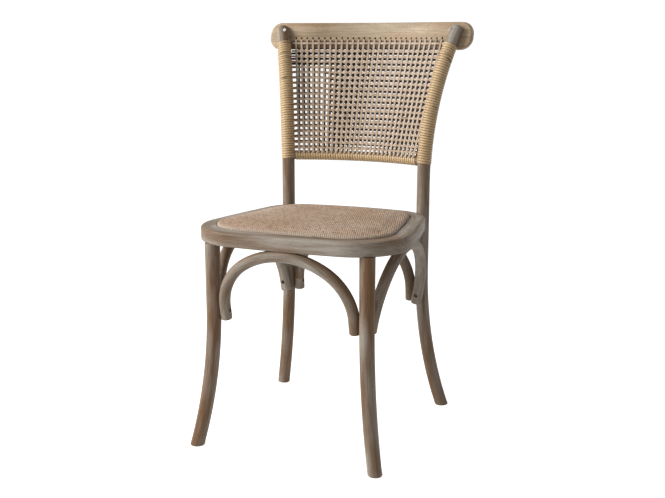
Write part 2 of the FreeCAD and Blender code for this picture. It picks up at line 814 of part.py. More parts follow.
def crown_screw(ends):
    """Head place, direction and length of the screw up through an arch's crown."""
    first, last, rise = arch_springs(ends)
    head = (first + last) / 2 + rise - UP * (ARCH_RADIUS - ARCH_SCREW_SINK)
    length = RING_BOTTOM - head.z + CROWN_SCREW_BITE
    return head, UP, length


def crest_screws():
    """Head place, direction and length of the screws through the posts' tops."""
    places = []
    for side in SIDES.values():
        centre = post_centre(side, CREST_SCREW_Z)
        x = centre.x - side * CREST_SCREW_INWARD
        inward = Vec(0, 1, -LEAN_TAN).normalize()
        face = crest_point(x, 0, CREST_SCREW_Z)
        post_front = math.sqrt(POST_RADIUS ** 2 - CREST_SCREW_INWARD ** 2)
        stand = face.y - centre.y + post_front / post_way(side, CREST_SCREW_Z).z
        head = face - inward * stand
        places.append((head, inward, stand + CREST_SCREW_BITE))
    return places


def board_screws():
    """Screws up through the ring's ledge into the seat board, at its corners."""
    inset = (REBATE_INSET + RING_BAND) / 2
    length = REBATE_FLOOR - RING_BOTTOM - BOARD_SCREW_SINK + BOARD_SCREW_BITE
    places = []
    for side in SIDES.values():
        for turn, radius, forward in ((FRONT_TURN, FRONT_CORNER_RADIUS, True),
                                      (REAR_TURN, REAR_CORNER_RADIUS, False)):
            centre = Vec(side * turn.x, turn.y, RING_BOTTOM + BOARD_SCREW_SINK)
            head = centre + direction(70, side, forward) * (radius - inset)
            places.append((head, UP, length))
    return places


def seat_bolt_line(side):
    """Direction from a post's centre to the seat's rear corner, and their gap."""
    post = Vec(side * POST_X, POST_Y, BOLT_Z)
    turn = Vec(side * REAR_TURN.x, REAR_TURN.y, BOLT_Z)
    way = (turn - post).normalize()
    to_edge = (turn - post).Length - REAR_CORNER_RADIUS
    return post, way, to_edge


def seat_bolt(side):
    post, way, to_edge = seat_bolt_line(side)
    head_top = post - way * (POST_RADIUS - BOLT_SINK + BOLT_HEAD_HEIGHT)
    head_foot = head_top + way * BOLT_HEAD_HEIGHT
    tip = post + way * (to_edge + NUT_INSET + NUT_RADIUS + BOLT_PAST_NUT)
    head = cylinder(BOLT_HEAD_RADIUS, head_top, head_foot)
    head = head.makeFillet(BOLT_HEAD_HEIGHT / 3, top_circle(head, head_top))
    return head.fuse(cylinder(BOLT_RADIUS, head_foot, tip)).removeSplitter()


def seat_bolt_room(side):
    post, way, to_edge = seat_bolt_line(side)
    head_foot = post - way * (POST_RADIUS - BOLT_SINK)
    tip = post + way * (to_edge + NUT_INSET + NUT_RADIUS + 2 * BOLT_PAST_NUT)
    bore = cylinder(BOLT_RADIUS + SLIP_GAP, head_foot, tip)
    sink = cylinder(BOLT_HEAD_RADIUS + 2 * SLIP_GAP, head_foot - way * 2 * POST_RADIUS, head_foot)
    return bore.fuse(sink)


def nut_place(side):
    post, way, to_edge = seat_bolt_line(side)
    return post + way * (to_edge + NUT_INSET) - UP * (NUT_LENGTH / 2)


def seat_bolt_nut(side):
    """Cross dowel that the bolt screws into, upright in the seat ring."""
    foot = nut_place(side)
    post, way, to_edge = seat_bolt_line(side)
    dowel = cylinder(NUT_RADIUS, foot, foot + UP * NUT_LENGTH)
    centre = foot + UP * (NUT_LENGTH / 2)
    reach = way * (NUT_RADIUS * 2)
    return dowel.cut(cylinder(BOLT_RADIUS + SLIP_GAP, centre - reach, centre + reach))


def nut_room(side):
    foot = nut_place(side)
    top = foot + UP * (NUT_LENGTH + SLIP_GAP)
    mouth = Vec(foot.x, foot.y, RING_BOTTOM)
    return cylinder(NUT_RADIUS + SLIP_GAP, mouth, top)


def room_for(places, sink):
    return [screw_room(head, way, length, sink) for head, way, length in places]


def cut_all(shape, tools):
    return shape.cut(tools) if tools else shape


# The parts

def seat_ring(arch_rooms, board_rooms):
    ring = seat_slab(0, RING_BOTTOM, SEAT_TOP)
    ring = ring.makeFillet(RING_TOP_ROUND, edges_at(ring, SEAT_TOP))
    ring = ring.makeFillet(RING_BOTTOM_ROUND, edges_at(ring, RING_BOTTOM))
    ring = ring.cut(seat_slab(RING_BAND, RING_BOTTOM, SEAT_TOP))
    ring = ring.cut(seat_slab(REBATE_INSET, REBATE_FLOOR, SEAT_TOP))
    sockets = []
    for side in SIDES.values():
        mouth = front_leg_top(side)
        deep = UP * (TENON_LENGTH + SLIP_GAP)
        sockets.append(cylinder(TENON_RADIUS + SLIP_GAP, mouth, mouth + deep))
        sockets.append(seat_bolt_room(side))
        sockets.append(nut_room(side))
    return cut_all(ring, sockets + arch_rooms + board_rooms)


def seat_board(board_rooms):
    board = seat_slab(REBATE_INSET + BOARD_GAP, REBATE_FLOOR, REBATE_FLOOR + BOARD_THICK)
    return cut_all(board, board_rooms)


def seat_pad():
    """Crowned pad with a soft shoulder and sides drawn in over the board."""
    foot = REBATE_FLOOR + BOARD_THICK
    edge = REBATE_INSET + PAD_GAP
    rings = [
        (edge + PAD_DRAW_IN, foot),
        (edge, (foot + SEAT_TOP) / 2),
        (edge, SEAT_TOP + PAD_EDGE_RISE * 0.25),
        (edge + PAD_SHOULDER * 0.16, SEAT_TOP + PAD_EDGE_RISE * 0.7),
        (edge + PAD_SHOULDER * 0.5, SEAT_TOP + PAD_EDGE_RISE * 0.93),
        (edge + PAD_SHOULDER, SEAT_TOP + PAD_EDGE_RISE),
    ]
    body = Part.makeLoft([seat_outline(inset, z) for inset, z in rings], True, True)
    return body.fuse(pad_crown(edge + PAD_SHOULDER)).removeSplitter()


def pad_crown(inset):
    """Shallow dome on the pad: stacked outlines, the last one nearly a point."""
    base = SEAT_TOP + PAD_EDGE_RISE
    rise = PAD_CROWN - PAD_EDGE_RISE
    most = min(FRONT_CORNER_RADIUS, REAR_CORNER_RADIUS) - 2.0 - inset
    steps = 4
    outlines = [seat_outline(inset, base)]
    for i in range(1, steps + 1):
        share = i / steps
        height = rise * (1 - (1 - share) ** 2)
        outlines.append(seat_outline(inset + most * share, base + height))
    return Part.makeLoft(outlines, True, True)


def arch(ends, bars):
    shape = cut_all(bent_arch(ends), bars)
    rooms = room_for(arch_screws(ends), ARCH_RADIUS)
    rooms += room_for([crown_screw(ends)], ARCH_RADIUS)
    return cut_all(shape, rooms)


def back_post(side, end_rooms):
    bar = post_bar(side, POST_RADIUS).cut(below(0))
    bar = bar.makeFillet(FOOT_ROUND, edges_at(bar, 0))
    bar = bar.makeFillet(POST_TOP_ROUND, top_circle(bar, post_centre(side, post_end_z())))
    scribe = crest_slab(-LAY_GAP, 4 * POST_RADIUS, CREST_BOTTOM_Z - SCRIBE_GAP,
                        CREST_TOP_Z + POST_RADIUS)
    notch = seat_slab(-SCRIBE_GAP, RING_BOTTOM, SEAT_TOP)
    socket = rail_tenon(side, RAIL_TENON_RADIUS + SLIP_GAP, SLIP_GAP)
    tools = [scribe, notch, socket, seat_bolt_room(side)] + end_rooms
    return cut_all(bar, tools)


def lower_back_rail():
    rail = rail_pipe(RAIL_RADIUS, rail_turn())
    for side in SIDES.values():
        rail = rail.cut(post_bar(side, POST_RADIUS + SCRIBE_GAP))
    for side in SIDES.values():
        rail = rail.fuse(rail_tenon(side, RAIL_TENON_RADIUS, 0))
    return rail.removeSplitter()


def crest_rail(screw_rooms):
    holes = []
    for i in range(STRAND_COUNT):
        through = crest_way(hole_x(i)) * CREST_THICK
        middle = crest_point(hole_x(i), CREST_THICK / 2, HOLE_ROW_Z)
        holes.append(cylinder(HOLE_RADIUS, middle - through, middle + through))
    return cut_all(crest_blank(), holes + screw_rooms)


def wrap_top_z():
    return CREST_BOTTOM_Z - WRAP_HEAD_GAP


def post_wrap(side):
    """A plain collar beside the rail's joint, and the winding above it."""
    rail_top = RAIL_Z + RAIL_WRAP_OUTER
    collar = post_stretch(side, WRAP_OUTER, WRAP_FOOT_Z, rail_top)
    collar = collar.cut(post_bar(side, WRAP_INNER))
    collar = collar.cut(rail_pipe(RAIL_WRAP_OUTER + SCRIBE_GAP, rail_turn()))
    bottom = rail_top + TURN_GAP
    whole = post_length(bottom, wrap_top_z())
    width = strip_width(whole, POST_TURNS)
    margin = width / 2 + TURN_GAP
    frame = post_frame(side, bottom + margin, wrap_top_z() - margin)
    gap = least_turn_gap(frame, POST_TURNS, WRAP_OUTER, width)
    print("post winding: least gap between turns", round(gap, 2))
    return [collar, wound_strip(frame, POST_TURNS, WRAP_INNER, WRAP_OUTER, width)]


def post_length(bottom, top):
    """Length of a post's centre line between two heights of its upper bend."""
    start = math.asin((bottom - POST_BACK_BEND_Z) / POST_BACK_BEND_RADIUS)
    end = math.asin((top - POST_BACK_BEND_Z) / POST_BACK_BEND_RADIUS)
    return POST_BACK_BEND_RADIUS * (end - start)


def rail_wrap():
    angle = rail_turn() - (WRAP_OUTER + 2 * TURN_GAP) / RAIL_BOW_RADIUS
    width = strip_width(2 * angle * (RAIL_BOW_RADIUS - RAIL_WRAP_OUTER), RAIL_TURNS)
    frame = rail_frame(angle - (width / 2 + TURN_GAP) / RAIL_BOW_RADIUS)
    gap = least_turn_gap(frame, RAIL_TURNS, RAIL_WRAP_OUTER, width)
    print("rail winding: least gap between turns", round(gap, 2))
    return wound_strip(frame, RAIL_TURNS, RAIL_WRAP_INNER, RAIL_WRAP_OUTER, width)


def build():
    arches = arch_ends()
    end_places = {name: arch_screws(ends) for name, ends in arches.items()}
    all_ends = [place for places in end_places.values() for place in places]
    crowns = [crown_screw(ends) for ends in arches.values()]
    crest_places = crest_screws()
    board_places = board_screws()
    end_rooms = room_for(all_ends, 0)
    crown_rooms = room_for(crowns, 0)
    crest_rooms = room_for(crest_places, POST_RADIUS)
    board_rooms = room_for(board_places, BOARD_SCREW_SINK)

    legs = {name: front_leg(side) for name, side in SIDES.items()}
    grown_posts = [post_bar(side, POST_RADIUS + SCRIBE_GAP) for side in SIDES.values()]
    grown_legs = [leg_room(side) for side in SIDES.values()]
    nodes = {}
    nodes["seat_ring"] = [seat_ring(crown_rooms, board_rooms)]
    nodes["seat_board"] = [seat_board(board_rooms)]
    nodes["seat_pad"] = [seat_pad()]
    for name, side in SIDES.items():
        nodes["front_leg_" + name] = [cut_all(legs[name], end_rooms)]
        nodes["back_post_" + name] = [back_post(side, end_rooms + crest_rooms)]
        nodes["post_wrap_" + name] = post_wrap(side)
    for name, ends in arches.items():
        nodes[name] = [arch(ends, grown_posts + grown_legs)]
    nodes["crest_rail"] = [crest_rail(crest_rooms)]
    nodes["lower_back_rail"] = [lower_back_rail()]
    nodes["rail_wrap"] = [rail_wrap()]
    for name, layer in (("front", -1), ("back", 1)):
        uprights = [upright_strand(layer, strand_share(i)) for i in range(STRAND_COUNT)]
        nodes[name + "_cane_uprights"] = uprights
        nodes[name + "_cane_rows"] = cane_rows(layer)
    nodes["arch_end_screws"] = [screw(*place) for place in all_ends]
    nodes["arch_crown_screws"] = [screw(*place) for place in crowns]
    nodes["crest_screws"] = [screw(*place) for place in crest_places]
    nodes["seat_board_screws"] = [screw(*place) for place in board_places]
    nodes["seat_bolts"] = [seat_bolt(side) for side in SIDES.values()]
    nodes["seat_bolt_nuts"] = [seat_bolt_nut(side) for side in SIDES.values()]
    return nodes


def leg_room(side):
    """The straight upper stretch of a front leg, grown by the scribing gap."""
    top = front_leg_top(side)
    low = Vec(top.x, top.y, ARCH_FRONT_END_Z - ARCH_RADIUS)
    radius = leg_radius_at(ARCH_FRONT_END_Z + ARCH_SCREW_RISE)
    return cylinder(radius + SCRIBE_GAP, low, top)


def centre_in_depth(nodes):
    """Shift along Y that puts the middle of the whole chair over the origin."""
    ends = ("crest_rail", "front_leg_left", "front_leg_right", "seat_ring")
    depths = []
    for name in ends:
        for shape in nodes[name]:
            depths += [point.y for point in shape.tessellate(MEASURE_STEP)[0]]
    return Vec(0, -(min(depths) + max(depths)) / 2, 0)


def export(nodes):
    shift = centre_in_depth(nodes)
    print("shift along Y", round(shift.y, 3))
    for name, shapes in nodes.items():
        shape = shapes[0] if len(shapes) == 1 else Part.makeCompound(shapes)
        shape.translate(shift)
        shape.exportStep("parts/" + name + ".step")
        print(name, len(shape.Solids), shape.isValid(), round(shape.Volume))


export(build())
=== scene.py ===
import bpy
import bmesh
import math
import random
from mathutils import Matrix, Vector


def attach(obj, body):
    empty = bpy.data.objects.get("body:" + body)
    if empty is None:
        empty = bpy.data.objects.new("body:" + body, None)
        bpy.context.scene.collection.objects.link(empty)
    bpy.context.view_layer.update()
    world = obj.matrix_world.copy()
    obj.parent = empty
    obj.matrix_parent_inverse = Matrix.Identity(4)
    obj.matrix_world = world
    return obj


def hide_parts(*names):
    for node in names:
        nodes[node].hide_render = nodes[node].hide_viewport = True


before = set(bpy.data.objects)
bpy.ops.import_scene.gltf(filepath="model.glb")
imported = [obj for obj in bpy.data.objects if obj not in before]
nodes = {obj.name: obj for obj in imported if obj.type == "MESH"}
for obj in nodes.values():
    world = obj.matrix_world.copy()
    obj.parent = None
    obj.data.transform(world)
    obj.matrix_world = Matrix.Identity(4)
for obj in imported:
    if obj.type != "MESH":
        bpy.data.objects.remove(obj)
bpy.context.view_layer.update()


# Seat ring: lengths of oak bent and glued into one hoop, rounded over at the rim and
# rebated for the pad. Washed grey, with the brown wood showing through in long patches,
# and the grain running round the hoop.

def srgb(red, green, blue):
    """Colour as it is seen, made linear for a shader."""
    shares = [value / 255 for value in (red, green, blue)]
    linear = [s / 12.92 if s < 0.04045 else ((s + 0.055) / 1.055) ** 2.4 for s in shares]
    return (*linear, 1.0)


def put(tree, kind, inputs=(), output=0, **settings):
    """Adds a node and gives back one of its outputs. Inputs are values or other outputs."""
    node = tree.nodes.new(kind)
    for name, value in settings.items():
        setattr(node, name, value)
    given = inputs.items() if isinstance(inputs, dict) else enumerate(inputs)
    for socket, value in given:
        if isinstance(value, bpy.types.NodeSocket):
            tree.links.new(value, node.inputs[socket])
        elif value is not None:
            node.inputs[socket].default_value = value
    return node.outputs[output]


def calc(tree, operation, *values):
    return put(tree, "ShaderNodeMath", values, operation=operation)


def mixed(tree, share, first, second, mode="MIX"):
    """Two colours mixed by a share from 0 to 1."""
    return put(tree, "ShaderNodeMix", {0: share, 6: first, 7: second}, output=2,
               data_type="RGBA", blend_type=mode)


def spread(tree, value, low, high, to_low=0.0, to_high=1.0):
    return put(tree, "ShaderNodeMapRange", (value, low, high, to_low, to_high))


def cloudy(tree, vector, stretch, detail=2.0, roughness=0.5):
    """Noise stretched by its own count of features a metre along each axis."""
    scaled = put(tree, "ShaderNodeVectorMath", (vector, stretch), operation="MULTIPLY")
    return put(tree, "ShaderNodeTexNoise", {"Vector": scaled, "Scale": 1.0, "Detail": detail,
                                            "Roughness": roughness})


def new_group(name, entries, results):
    """Empty shader node group, with its named inputs and outputs."""
    tree = bpy.data.node_groups.new(name, "ShaderNodeTree")
    for socket, kind in entries:
        tree.interface.new_socket(name=socket, in_out="INPUT", socket_type="NodeSocket" + kind)
    for socket, kind in results:
        tree.interface.new_socket(name=socket, in_out="OUTPUT", socket_type="NodeSocket" + kind)
    return tree, tree.nodes.new("NodeGroupInput"), tree.nodes.new("NodeGroupOutput")


washed_wood, given, made = new_group(
    "washed wood",
    [("Grain", "Vector"), ("Pale", "Color"), ("Grey", "Color"), ("Brown", "Color"),
     ("Dark", "Color"), ("Brown share", "Float")],
    [("Color", "Color"), ("Roughness", "Float"), ("Height", "Float")])
grain = given.outputs["Grain"]
wash = spread(washed_wood, cloudy(washed_wood, grain, (5, 42, 42), 3.0), 0.38, 0.6)
patch = cloudy(washed_wood, grain, (4, 26, 26), 3.0, 0.6)
patch = spread(washed_wood, patch, 0.38, 0.62)
patch = calc(washed_wood, "MULTIPLY", patch, given.outputs["Brown share"])
streak = spread(washed_wood, cloudy(washed_wood, grain, (12, 520, 520), 4.0, 0.65), 0.42, 0.68)
pore = spread(washed_wood, cloudy(washed_wood, grain, (110, 2400, 2400), 2.0), 0.55, 0.7)
tone = mixed(washed_wood, wash, given.outputs["Grey"], given.outputs["Pale"])
tone = mixed(washed_wood, patch, tone, given.outputs["Brown"])
tone = mixed(washed_wood, calc(washed_wood, "MULTIPLY", streak, 0.42), tone, given.outputs["Dark"])
tone = mixed(washed_wood, calc(washed_wood, "MULTIPLY", pore, 0.35), tone, given.outputs["Dark"])
relief = calc(washed_wood, "MULTIPLY_ADD", pore, -0.5, 1.0)
relief = calc(washed_wood, "MULTIPLY_ADD", streak, -0.5, relief)
washed_wood.links.new(tone, made.inputs["Color"])
washed_wood.links.new(spread(washed_wood, streak, 0, 1, 0.5, 0.68), made.inputs["Roughness"])
washed_wood.links.new(relief, made.inputs["Height"])

WOOD_TONES = {"Pale": srgb(186, 176, 163), "Grey": srgb(140, 125, 106),
              "Brown": srgb(120, 84, 48), "Dark": srgb(62, 45, 31)}
PALE_TONES = {"Pale": srgb(210, 190, 162), "Grey": srgb(180, 160, 134),
              "Brown": srgb(176, 132, 82), "Dark": srgb(98, 76, 52)}


def xyz(tree):
    """The three Object coordinates of a material."""
    place = put(tree, "ShaderNodeTexCoord", output="Object")
    split = tree.nodes.new("ShaderNodeSeparateXYZ")
    tree.links.new(place, split.inputs[0])
    return split.outputs[0], split.outputs[1], split.outputs[2]


def joined(tree, *parts):
    return put(tree, "ShaderNodeCombineXYZ", parts)


def wooden(name, grain_of, seed, brown_share=0.55, tones=WOOD_TONES, painted_shade_of=None):
    """Material of one wooden piece. grain_of gives its coordinates, the first one along the grain,
    and the last argument the share of painted shade, a dark brown, laid on it."""
    material = bpy.data.materials.new(name)
    material.use_nodes = True
    tree = material.node_tree
    shader = tree.nodes["Principled BSDF"]
    grain = put(tree, "ShaderNodeVectorMath", (grain_of(tree), (seed, seed * 1.7, seed * 2.3)))
    finish = tree.nodes.new("ShaderNodeGroup")
    finish.node_tree = washed_wood
    tree.links.new(grain, finish.inputs["Grain"])
    for socket, colour in tones.items():
        finish.inputs[socket].default_value = colour
    finish.inputs["Brown share"].default_value = brown_share
    tone = finish.outputs["Color"]
    # Painted shade: a dark brown laid over the wood where shade falls on it.
    if painted_shade_of:
        tone = mixed(tree, painted_shade_of(tree), tone, srgb(58, 38, 22))
    tree.links.new(tone, shader.inputs["Base Color"])
    tree.links.new(finish.outputs["Roughness"], shader.inputs["Roughness"])
    bump = put(tree, "ShaderNodeBump", {"Strength": 0.5, "Distance": 0.0006,
                                        "Height": finish.outputs["Height"]})
    tree.links.new(bump, shader.inputs["Normal"])
    shader.inputs["Specular IOR Level"].default_value = 0.35
    return material


def dress(node, material):
    """Gives a node of the frame its finish."""
    for slot in nodes[node].material_slots:
        slot.material = material


RING_MIDDLE_Y = -0.0562
RING_HALF_DEPTH = 0.206


def hoop_grain(tree):
    """Round the seat: the turn about its middle, and how near the rim a point lies."""
    x, y, z = xyz(tree)
    half_width = calc(tree, "MULTIPLY_ADD", y, -0.171, 0.198)
    out_x = calc(tree, "DIVIDE", x, half_width)
    out_y = calc(tree, "DIVIDE", calc(tree, "SUBTRACT", y, RING_MIDDLE_Y), RING_HALF_DEPTH)
    turn = calc(tree, "ARCTAN2", out_y, out_x)
    fourth = calc(tree, "ADD", calc(tree, "POWER", calc(tree, "ABSOLUTE", out_x), 4.0),
                  calc(tree, "POWER", calc(tree, "ABSOLUTE", out_y), 4.0))
    reach = calc(tree, "POWER", fourth, 0.25)
    return joined(tree, calc(tree, "MULTIPLY", turn, 0.24), calc(tree, "MULTIPLY", reach, 0.21), z)


dress("seat_ring", wooden("seat ring oak", hoop_grain, 1.3, 0.6))


# Seat board: a thin plywood panel screwed up into the ring's ledge, the base of the pad.
# Its pale underside shows only from below.

PLY_TONES = {"Pale": srgb(196, 170, 130), "Grey": srgb(180, 150, 110),
             "Brown": srgb(160, 124, 84), "Dark": srgb(120, 90, 60)}


def board_grain(tree):
    x, y, z = xyz(tree)
    return joined(tree, x, y, z)


dress("seat_board", wooden("seat board plywood", board_grain, 4.1, 0.4, PLY_TONES))


# Seat pad: foam on the board under a cover of finely woven cane, pulled down tight over
# the edge, where the strands lie close and pale: partly worn cane, partly painted highlight
# where the edge catches the light. Dropped into the ring's rebate.

woven_cover, given, made = new_group(
    "woven cane cover",
    [("Place", "Vector"), ("Pale", "Color"), ("Tan", "Color"), ("Shade", "Color"),
     ("Edge", "Float")],
    [("Color", "Color"), ("Roughness", "Float"), ("Height", "Float")])
place = given.outputs["Place"]
split = woven_cover.nodes.new("ShaderNodeSeparateXYZ")
woven_cover.links.new(place, split.inputs[0])
WARP_PITCH = 0.0042
WEFT_PITCH = 0.0034
warp = calc(woven_cover, "DIVIDE", split.outputs[0], WARP_PITCH)
weft = calc(woven_cover, "DIVIDE", split.outputs[1], WEFT_PITCH)
warp_number = calc(woven_cover, "FLOOR", warp)
weft_number = calc(woven_cover, "FLOOR", weft)
warp_share = calc(woven_cover, "FRACT", warp)
weft_share = calc(woven_cover, "FRACT", weft)
step = calc(woven_cover, "FLOORED_MODULO", calc(woven_cover, "ADD", warp_number, weft_number), 2.0)
warp_on_top = calc(woven_cover, "LESS_THAN", step, 0.5)


def roundness(tree, share):
    """Height of a strand's back across it, 1 in the middle and 0 at its edges."""
    off = calc(tree, "ABSOLUTE", calc(tree, "SUBTRACT", share, 0.5))
    return spread(tree, off, 0.5, 0.12)


warp_back = roundness(woven_cover, warp_share)
weft_back = roundness(woven_cover, weft_share)
over_warp = calc(woven_cover, "MULTIPLY", warp_back, calc(woven_cover, "ADD", 0.35, calc(
    woven_cover, "MULTIPLY", weft_back, 0.65)))
over_weft = calc(woven_cover, "MULTIPLY", weft_back, calc(woven_cover, "ADD", 0.35, calc(
    woven_cover, "MULTIPLY", warp_back, 0.65)))
weave = put(woven_cover, "ShaderNodeMix", {0: warp_on_top, 2: over_weft, 3: over_warp})
fleck = put(woven_cover, "ShaderNodeTexWhiteNoise", {
    "Vector": joined(woven_cover, warp_number, weft_number, 0.0)}, noise_dimensions="3D")
drawn = cloudy(woven_cover, place, (260, 60, 60), 3.0, 0.7)
broad = cloudy(woven_cover, place, (9, 9, 9), 3.0, 0.6)
tone = mixed(woven_cover, spread(woven_cover, broad, 0.38, 0.66), given.outputs["Tan"],
             given.outputs["Pale"])
tone = mixed(woven_cover, calc(woven_cover, "MULTIPLY", calc(
    woven_cover, "GREATER_THAN", fleck, 0.84), 0.5), tone, given.outputs["Shade"])
tone = mixed(woven_cover, spread(woven_cover, drawn, 0.5, 0.72, 0.0, 0.4), tone,
             given.outputs["Shade"])
# Pale band on the turned-down edge: partly the close, worn strands, partly painted highlight.
tone = mixed(woven_cover, given.outputs["Edge"], tone, srgb(236, 214, 192))
# Painted shade in the hollows of the weave, where a strand dips under its neighbour.
tone = mixed(woven_cover, spread(woven_cover, weave, 0.0, 0.55, 0.75, 0.0), tone,
             given.outputs["Shade"])
woven_cover.links.new(tone, made.inputs["Color"])
woven_cover.links.new(spread(woven_cover, weave, 0, 1, 0.75, 0.5), made.inputs["Roughness"])
woven_cover.links.new(weave, made.inputs["Height"])

cover = bmesh.new()
cover.from_mesh(nodes["seat_pad"].data)
bmesh.ops.remove_doubles(cover, verts=cover.verts[:], dist=0.00005)
cover_mesh = bpy.data.meshes.new("seat_pad_cover")
cover.to_mesh(cover_mesh)
cover.free()
seat_pad = bpy.data.objects.new("woven_seat_pad", cover_mesh)
bpy.context.scene.collection.objects.link(seat_pad)
remesh = seat_pad.modifiers.new("even faces", "REMESH")
remesh.mode = "VOXEL"
remesh.voxel_size = 0.004
smooth = seat_pad.modifiers.new("soft edge", "SMOOTH")
smooth.factor = 0.5
smooth.iterations = 3
bpy.context.view_layer.update()
depsgraph = bpy.context.evaluated_depsgraph_get()
even = bpy.data.meshes.new_from_object(seat_pad.evaluated_get(depsgraph))
seat_pad.modifiers.clear()
seat_pad.data = even
even.shade_smooth()


def cane_cover(name):
    """Material of the pad: a fine slanting weave, turned down over the edge."""
    material = bpy.data.materials.new(name)
    material.use_nodes = True
    tree = material.node_tree
    shader = tree.nodes["Principled BSDF"]
    x, y, z = xyz(tree)
    down = calc(tree, "SUBTRACT", 0.4725, z)
    along = calc(tree, "SUBTRACT", y, calc(tree, "MULTIPLY", down, 1.0))
    slant = calc(tree, "MULTIPLY_ADD", y, 0.3, x)
    cloth = tree.nodes.new("ShaderNodeGroup")
    cloth.node_tree = woven_cover
    tree.links.new(joined(tree, slant, along, z), cloth.inputs["Place"])
    # The edge below the top is painted pale: worn strands and painted highlight.
    tree.links.new(spread(tree, z, 0.4712, 0.4680, 0.0, 0.95), cloth.inputs["Edge"])
    for socket, colour in (("Pale", srgb(250, 222, 196)), ("Tan", srgb(226, 188, 154)),
                           ("Shade", srgb(92, 62, 42))):
        cloth.inputs[socket].default_value = colour
    tree.links.new(cloth.outputs["Color"], shader.inputs["Base Color"])
    tree.links.new(cloth.outputs["Roughness"], shader.inputs["Roughness"])
    bump = put(tree, "ShaderNodeBump", {"Strength": 1.0, "Distance": 0.0012,
                                        "Height": cloth.outputs["Height"]})
    tree.links.new(bump, shader.inputs["Normal"])
    return material


even.materials.clear()
even.materials.append(cane_cover("woven cane cover of the pad"))
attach(seat_pad, "root")
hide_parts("seat_pad")


# Front legs: turned oak bars, tenoned up into the ring and steamed to bend outwards
# towards the feet.

def bent_bar_grain(side, place, bends):
    """Grain up a bar: bends gives where each one starts, its radius, way out and sense."""

    def grain(tree):
        x, y, z = xyz(tree)
        x = calc(tree, "SUBTRACT", x, side * place[0])
        y = calc(tree, "SUBTRACT", y, place[1])
        for start, radius, degrees, sense, forward in bends:
            rise = calc(tree, "MAXIMUM", calc(tree, "MULTIPLY", calc(tree, "SUBTRACT", z, start),
                                              sense), 0.0)
            out = calc(tree, "DIVIDE", calc(tree, "MULTIPLY", rise, rise), 2 * radius)
            turn = math.radians(degrees)
            x = calc(tree, "MULTIPLY_ADD", out, -side * math.sin(turn), x)
            y = calc(tree, "MULTIPLY_ADD", out, forward * math.cos(turn), y)
        return joined(tree, z, x, y)

    return grain


SIDES = {"left": -1, "right": 1}
for name, side in SIDES.items():
    grain = bent_bar_grain(side, (0.171, -0.2282), [(0.297, 1.03, 45.0, -1, 1)])
    dress("front_leg_" + name, wooden(name + " front leg oak", grain, 6.2 + side, 0.95))


# Back posts: one bar each from floor to crest, bent back and out both ways from the seat.
# The top is scribed over the front of the crest rail and lies on it as a rounded tongue.

for name, side in SIDES.items():
    bends = [(0.332, 0.93, 41.4, -1, -1), (0.535, 0.662, 31.8, 1, -1)]
    grain = bent_bar_grain(side, (0.1665, 0.1313), bends)
    dress("back_post_" + name, wooden(name + " back post oak", grain, 9.7 + 2 * side, 0.95))


# Bent arches: four thinner bars, each bent into a basket arch, scribed to two legs and
# screwed up under the seat ring.

def arch_grain(across, middle, other, lean):
    """Grain round an arch in its own leaning plane. across is the axis it spans."""

    def grain(tree):
        axes = xyz(tree)
        rise = calc(tree, "SUBTRACT", axes[2], 0.285)
        out = calc(tree, "SUBTRACT", axes[across], middle)
        turn = calc(tree, "ARCTAN2", rise, out)
        reach = calc(tree, "SQRT", calc(tree, "MULTIPLY_ADD", out, out,
                                        calc(tree, "MULTIPLY", rise, rise)))
        side = calc(tree, "SUBTRACT", axes[1 - across], other)
        side = calc(tree, "MULTIPLY_ADD", rise, -lean / 0.14, side)
        return joined(tree, calc(tree, "MULTIPLY", turn, 0.145), reach, side)

    return grain


ARCHES = {"front_arch": (0, 0.0, -0.2282, -0.010), "rear_arch": (0, 0.0, 0.1313, -0.009),
          "left_arch": (1, -0.048, -0.169, -0.023), "right_arch": (1, -0.048, 0.169, 0.023)}
for number, (node, (across, middle, other, lean)) in enumerate(ARCHES.items()):
    grain = arch_grain(across, middle, other, lean)
    dress(node, wooden(node.replace("_", " ") + " oak", grain, 13.0 + number * 1.9, 0.85))


# Crest rail: a board steamed to a shallow double bend, leaning back, with a row of
# drilled holes that the cane hangs from.

SHIFT_Y = -0.040242
CREST_MIDDLE_Z = 0.85275
CREST_THICK = 0.021
CREST_LEAN = math.tan(math.radians(17))
CREST_BOW = 0.36
CREST_REFLEX = 0.275
CREST_FLAT_X = 0.215
CREST_SWEEP = math.asin(CREST_FLAT_X / (CREST_BOW + CREST_REFLEX))


def crest_face_y(x):
    """Front face of the crest in plan, at its middle height."""
    front = 0.285 + SHIFT_Y
    reach = min(abs(x), CREST_FLAT_X)
    if reach <= CREST_BOW * math.sin(CREST_SWEEP):
        return front - CREST_BOW + math.sqrt(CREST_BOW ** 2 - reach ** 2)
    tip = front - (CREST_BOW + CREST_REFLEX) * (1 - math.cos(CREST_SWEEP))
    return tip + CREST_REFLEX - math.sqrt(CREST_REFLEX ** 2 - (CREST_FLAT_X - reach) ** 2)


def crest_way(x):
    """Level way out of the crest's back face."""
    if abs(x) <= CREST_BOW * math.sin(CREST_SWEEP):
        turn = math.asin(abs(x) / CREST_BOW)
    else:
        turn = math.asin(max(CREST_FLAT_X - abs(x), 0.0) / CREST_REFLEX)
    return Vector((math.copysign(math.sin(turn), x), math.cos(turn), 0))


def crest_point(x, depth, height):
    """Point behind the crest's front face, at a height."""
    level = Vector((x, crest_face_y(x), height)) + crest_way(x) * depth
    return level + Vector((0, CREST_LEAN * (height - CREST_MIDDLE_Z), 0))


